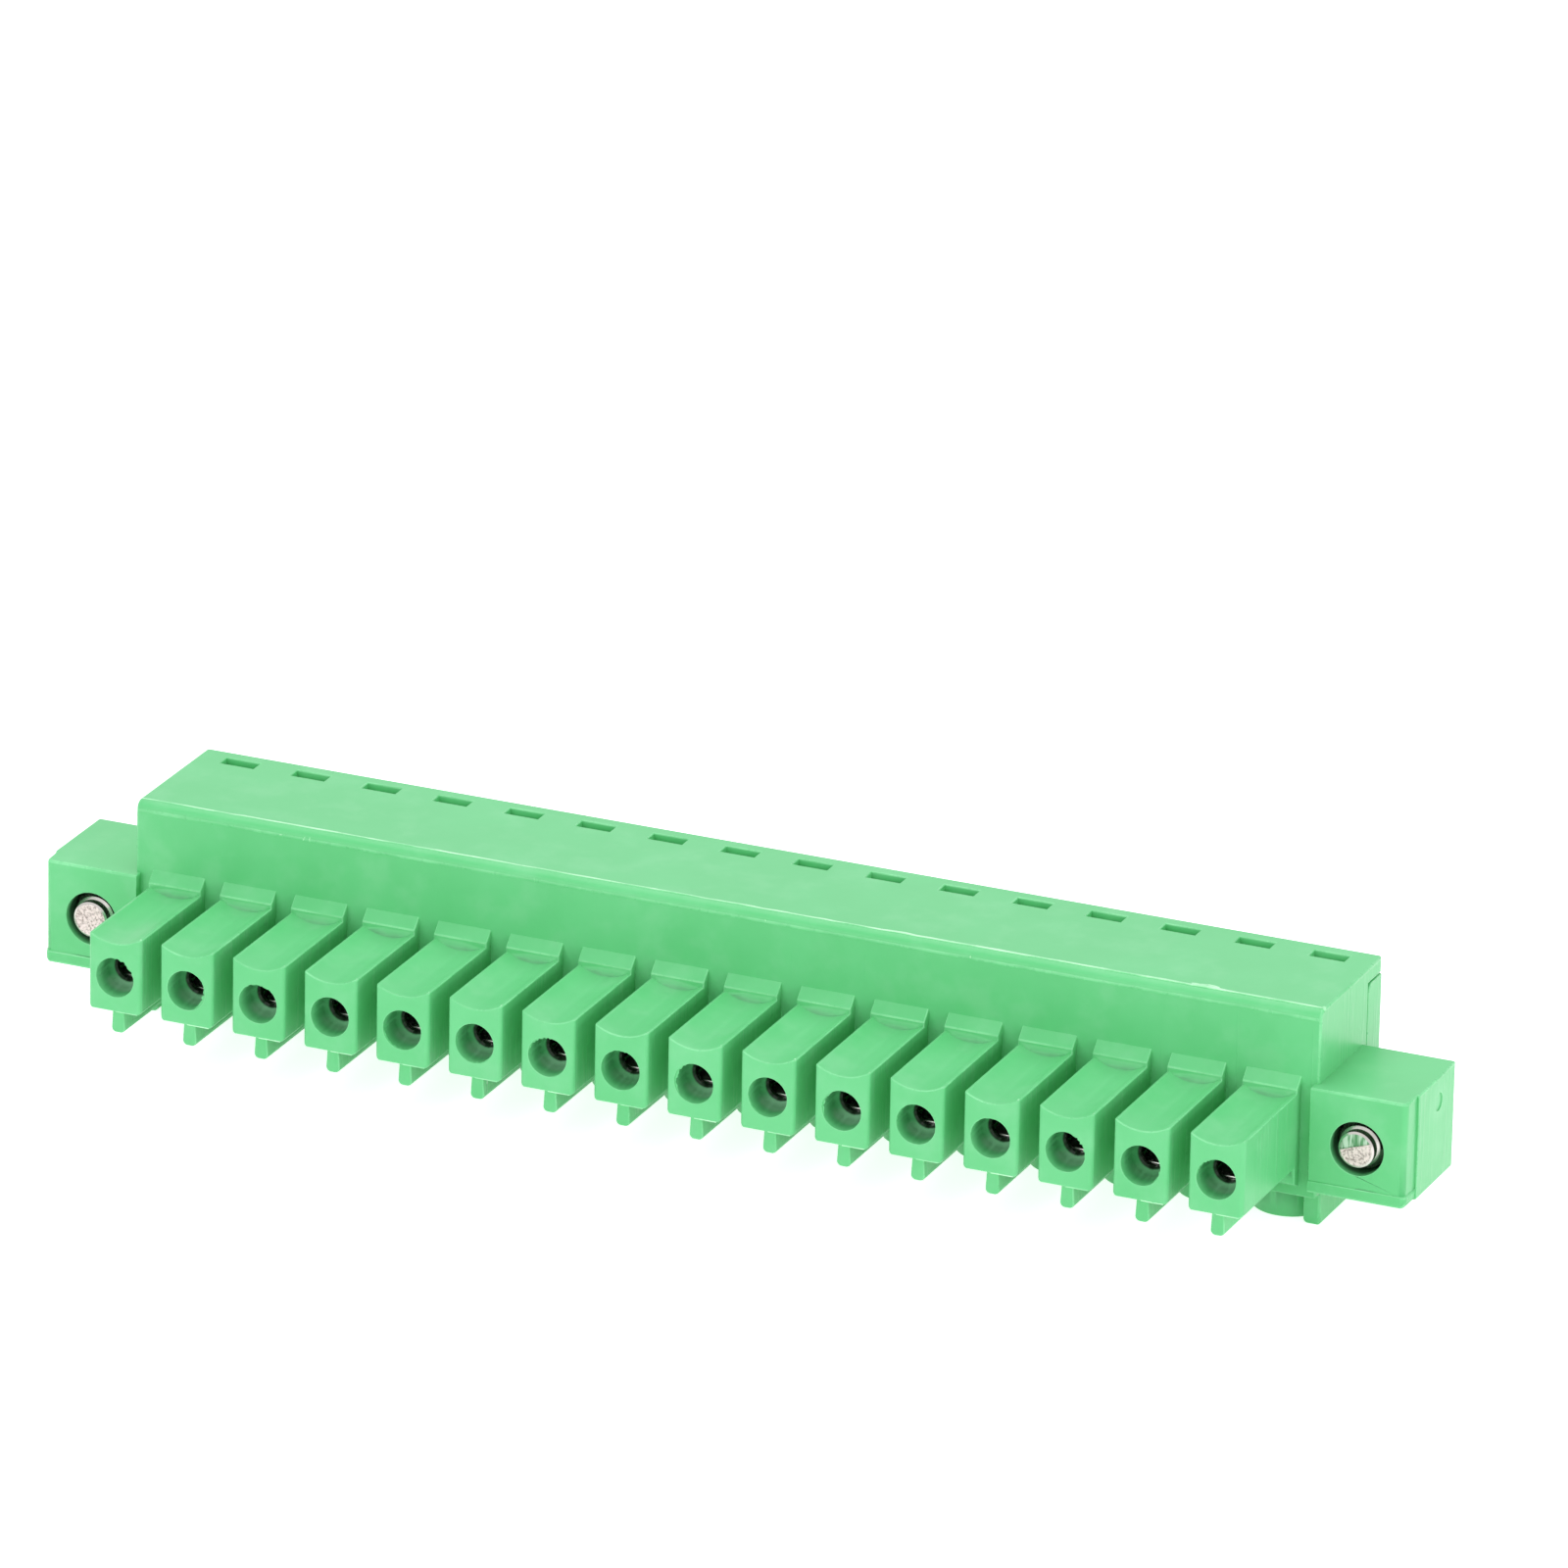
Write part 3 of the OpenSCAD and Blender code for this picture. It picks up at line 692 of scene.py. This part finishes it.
def opening_flash(name, x, seed, share):
    """The thin ragged film at the rim of a contact opening, which reaches in by a share of its radius."""
    rng = random.Random(seed)
    start = rng.uniform(0, 2 * math.pi)
    centre = Vector((x, FINGER_FRONT + 0.09 * MM, AXIS_Z))
    bpy.ops.mesh.primitive_circle_add(
        vertices=60,
        radius=OPENING_R + 0.02 * MM,
        fill_type="NOTHING",
        location=centre,
        rotation=(math.pi / 2, 0, 0),
    )
    film = bpy.context.object
    settle(film, name)
    with editing(film, "EDGE"):
        bpy.ops.mesh.extrude_region_move()
        bpy.ops.transform.resize(value=(0.965, 1, 0.965), center_override=centre)
        bpy.ops.mesh.select_all(action="SELECT")
        bpy.ops.mesh.normals_make_consistent(inside=False)
    for vertex in film.data.vertices:
        arm = vertex.co - centre
        if arm.length < OPENING_R * 0.99:
            angle = math.atan2(arm.z, arm.x) - start
            reach = max(0.0, math.cos(angle) ** 3) * share * rng.uniform(0.2, 1.0)
            vertex.co = centre + arm * (1.02 - reach)
    modify(film, "SOLIDIFY", thickness=0.04 * MM, offset=0)
    smooth(film, 40)
    return film


def on_plug(piece, material):
    """Finishes a piece of trim that moves with the housing."""
    paint(piece, material)
    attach(piece, "plug")


def add_parting_lines(rim, flash):
    """The flash along the body's upper front corner: two ridges, nicks, a curl and a crumb at the end."""
    ridge_y = BODY_FRONT + FRONT_EDGE_R
    ridge_z = BODY_TOP - FRONT_EDGE_R
    ends = (-BODY_END + 0.1 * MM, BODY_END - 0.1 * MM)
    lumps = [(23.0, 14.0, 0.030), (24.9, 0.45, 0.05), (30.5, 0.15, 0.03)]
    lumps += [(-27.9, 0.2, 0.02), (-3.1, 0.25, 0.02), (9.4, 0.2, 0.02)]
    top = flash_line("top_parting_ridge", ends, ridge_y, BODY_TOP, 0.10 * MM, 0.05 * MM, lumps, 3)
    front = flash_line(
        "front_parting_ridge", ends, BODY_FRONT, ridge_z, 0.014 * MM, 0.16 * MM, [], 5, ragged=0.06
    )
    # the front ridge takes the paler rim finish, a painted highlight
    on_plug(front, rim)
    for number, x in enumerate((-28.9, -23.1, -21.9, -21.6, -9.7, 2.4, 13.0), start=1):
        place = (x * MM, BODY_FRONT + 0.005 * MM, ridge_z + 0.02 * MM)
        on_plug(crumb(f"edge_nick_{number}", place, (0.12 * MM, 0.02 * MM, 0.03 * MM), number + 40), flash)
    curl = flash_line(
        "curled_flash",
        (24.05 * MM, 25.45 * MM),
        ridge_y + 0.14 * MM,
        BODY_TOP + 0.04 * MM,
        0.12 * MM,
        0.06 * MM,
        [(24.95, 0.35, 0.05)],
        7,
        cuts=24,
    )
    for piece in (top, curl):
        on_plug(piece, flash)
    corner = (BODY_END - 0.06 * MM, ridge_y - 0.02 * MM, BODY_TOP - 0.03 * MM)
    on_plug(crumb("corner_crumb", corner, (0.15 * MM, 0.12 * MM, 0.09 * MM), 29), flash)


def add_finger_flash(green, flash):
    """A crumb, a foot line and a film in the opening, on each contact finger."""
    rng = random.Random(11)
    for number, x in enumerate(POLE_X, start=1):
        size = [rng.uniform(0.03, 0.07) * MM for _ in range(3)]
        place = (x + FINGER_W / 2 - 0.1 * MM, FINGER_FRONT + 0.22 * MM, FINGER_TOP - 0.03 * MM)
        on_plug(crumb(f"finger_crumb_{number:02d}", place, size, number), flash)
        share = rng.choice((0.05, 0.08, 0.12, 0.18))
        on_plug(opening_flash(f"opening_flash_{number:02d}", x, number, share), green)
        foot = flash_line(
            f"finger_foot_flash_{number:02d}",
            (x + 0.05 * MM, x + FINGER_W / 2 - 0.2 * MM),
            FINGER_FRONT + 0.03 * MM,
            FINGER_UNDER + 0.01 * MM,
            0.06 * MM,
            0.05 * MM,
            [],
            number,
            cuts=20,
        )
        on_plug(foot, flash)


# ---- lock screws -------------------------------------------------------------------------------------------


def turned(name, x, profile, sides=48):
    """A turned shape about the y axis through a lock screw, from its (radius, y) profile in metres."""
    radius, y = profile[0]
    bpy.ops.mesh.primitive_circle_add(
        vertices=sides, radius=radius, fill_type="NGON", location=(x, y, LOCK_Z), rotation=(math.pi / 2, 0, 0)
    )
    piece = bpy.context.object
    settle(piece, name)
    with editing(piece):
        for next_radius, next_y in profile[1:]:
            bpy.ops.mesh.extrude_region_move(TRANSFORM_OT_translate={"value": (0, next_y - y, 0)})
            ratio = next_radius / radius
            bpy.ops.transform.resize(value=(ratio, 1, ratio), center_override=(x, next_y, LOCK_Z))
            radius, y = next_radius, next_y
        bpy.ops.mesh.select_all(action="SELECT")
        bpy.ops.mesh.normals_make_consistent(inside=False)
    return piece


def helix(name, x, start, turns, pitch, root, depth):
    """The ridge of a screw thread about the y axis through a lock screw, on a root of a radius."""
    bpy.ops.mesh.primitive_circle_add(vertices=4, radius=1, fill_type="NOTHING", location=(x, start, LOCK_Z))
    ridge = bpy.context.object
    with editing(ridge, "EDGE"):
        bpy.ops.transform.resize(value=(depth, 0.42 * pitch, 1), center_override=(x, start, LOCK_Z))
        bpy.ops.transform.translate(value=(root, 0, 0))
    modify(ridge, "SCREW", axis="Y", screw_offset=pitch, iterations=turns, steps=40, render_steps=40)
    with editing(ridge, "EDGE"):
        bpy.ops.mesh.fill_holes(sides=4)
        bpy.ops.mesh.select_all(action="SELECT")
        bpy.ops.mesh.normals_make_consistent(inside=False)
    settle(ridge, name)
    return ridge


def cut_slot(piece, x, y, width, depth):
    """Cuts a level slot across the head of a lock screw."""
    bpy.ops.mesh.primitive_cube_add(size=1, location=(x, y, LOCK_Z), scale=(5 * MM, 2 * depth, width))
    cutter = bpy.context.object
    settle(cutter, "slot_cutter")
    modify(piece, "BOOLEAN", operation="DIFFERENCE", object=cutter, solver="EXACT")
    bpy.data.objects.remove(cutter)


def lock_screw(side, nickel, torn, sheared):
    """A captive screw: its torn tip, its thread, its neck and its slotted head."""
    x = LOCK_SCREWS[side].x
    node = "lock_screw_" + side
    tip_r, root_r, neck_r, head_r = 0.90 * MM, 1.03 * MM, 0.95 * MM, 1.80 * MM
    tip, back = LOCK_TIP_Y, LOCK_BACK_Y
    thread = tip + LOCK_TIP_L
    neck = thread + LOCK_THREAD_L
    head = back - LOCK_HEAD_L
    profile = [
        (tip_r - 0.10 * MM, tip),
        (tip_r, tip + 0.07 * MM),
        (tip_r, thread - 0.04 * MM),
        (root_r, thread + 0.04 * MM),
        (root_r, neck - 0.05 * MM),
        (neck_r, neck),
        (neck_r, head),
        (head_r - 0.08 * MM, head),
        (head_r, head + 0.08 * MM),
        (head_r, back - 0.15 * MM),
        (head_r - 0.15 * MM, back),
    ]
    shaft = turned(node + "_shaft", x, profile)
    cut_slot(shaft, x, back, 0.6 * MM, 0.6 * MM)
    paint(shaft, nickel, torn, sheared)

    def at_tip(face):
        return face.normal.y < -0.99 and face.calc_center_median().y < tip + 0.01 * MM

    if side == "right":
        # this end was half sheared, half torn
        with editing(shaft):
            choose("faces", at_tip)
            bpy.ops.mesh.bisect(plane_co=(x, tip, LOCK_Z + 0.12 * MM), plane_no=(-0.30, 0, 1))
            choose("faces", lambda face: at_tip(face) and face.calc_center_median().z > LOCK_Z + 0.2 * MM)
            bpy.ops.mesh.extrude_region_move(TRANSFORM_OT_translate={"value": (0, 0.08 * MM, 0)})
    for face in shaft.data.polygons:
        if face.normal.y < -0.99 and face.center.y < tip + 0.10 * MM:
            face.material_index = 1 if face.center.y < tip + 0.01 * MM else 2
    ridge = helix(node + "_thread", x, thread + 0.28 * MM, 3, LOCK_PITCH, root_r, 0.21 * MM)
    paint(ridge, nickel)
    for piece in (shaft, ridge):
        smooth(piece)
        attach(piece, node)
    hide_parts(node)


# ---- the plug ----------------------------------------------------------------------------------------------

add_camera()
add_light()
add_floor()

green = moulded_green("moulded_green")
green_edge_highlight = painted_edge_highlight("moulded_green_edge_highlight")
flash = thin_highlit_flash("moulded_flash")
tin = plated("tin_plate", (0.80, 0.78, 0.74), 0.22)
zinc = plated("zinc_plate", (0.58, 0.59, 0.60), 0.32)
nickel = plated("bright_nickel", (0.62, 0.59, 0.56), 0.20)
torn = sheared_metal("torn_screw_end")
sheared = sheared_face_green_reflection("sheared_face_green_reflection")

# planes through the middle of every hole and between the poles cut the large faces of the mouldings
middles = [*POLE_X, *(x + PITCH / 2 for x in POLE_X[:-1]), LOCK_X, -LOCK_X]
cuts = [((x, 0, 0), (1, 0, 0)) for x in middles]
cuts.append(((0, EJECTOR_MARK_Y, 0), (0, 1, 0)))
# the rounded edges of both mouldings take the paler rim finish, a painted highlight
rounded("housing", CORNER_EDGE, green, green_edge_highlight, weld=20e-6, segments=3, wanted=housing_edge, cuts=cuts)
rounded("rear_cover", 0.10 * MM, green, green_edge_highlight, weld=20e-6, cuts=cuts)
for name in CONTACTS:
    rounded(name, 0.03 * MM, tin, tin)
for name in nodes:
    if name.startswith(("clamp_cage", "clamp_screw")):
        rounded(name, 0.05 * MM, zinc, zinc)
    elif name.startswith("lock_washer"):
        rounded(name, 0.03 * MM, zinc, zinc)
for side in LOCK_SCREWS:
    lock_screw(side, nickel, torn, sheared)
add_parting_lines(green_edge_highlight, flash)
add_finger_flash(green, flash)

bpy.context.scene.view_settings.view_transform = "Standard"
